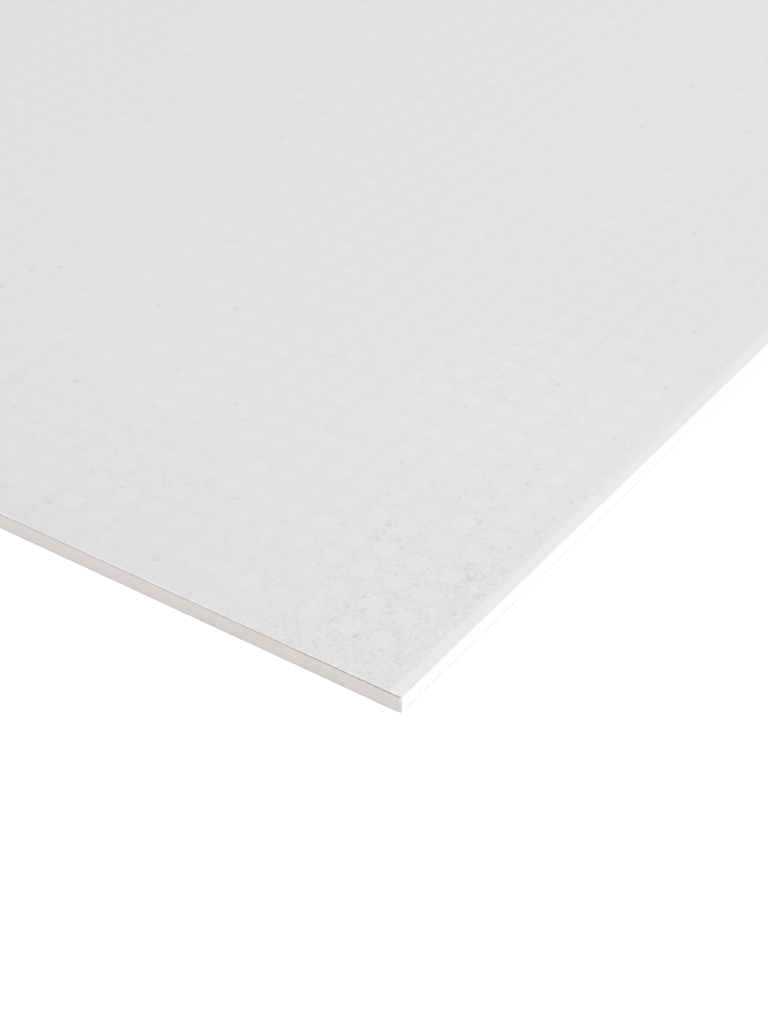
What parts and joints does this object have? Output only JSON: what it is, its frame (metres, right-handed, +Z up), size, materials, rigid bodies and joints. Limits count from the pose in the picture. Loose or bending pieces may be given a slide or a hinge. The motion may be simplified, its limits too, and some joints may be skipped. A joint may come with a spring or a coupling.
{
  "type": "drywall sheet",
  "caption": "Square-edged gypsum board sheet: a plaster core in a pale face liner that folds round the long edges, with a back liner lapped over it.",
  "frame": {"origin": "under the middle of the sheet, on the surface that it lies on", "axes": "+X along the sheet's length, +Y across it and +Z up, out of the face liner"},
  "size_m": [2.4, 1.2, 0.0125],
  "materials": {
    "core": "matte",
    "face_liner": "matte",
    "back_liner": "matte"
  },
  "bodies": {
    "root": {"gypsum_core": "core", "face_paper": "face_liner", "back_paper": "back_liner"}
  },
  "joints": []
}
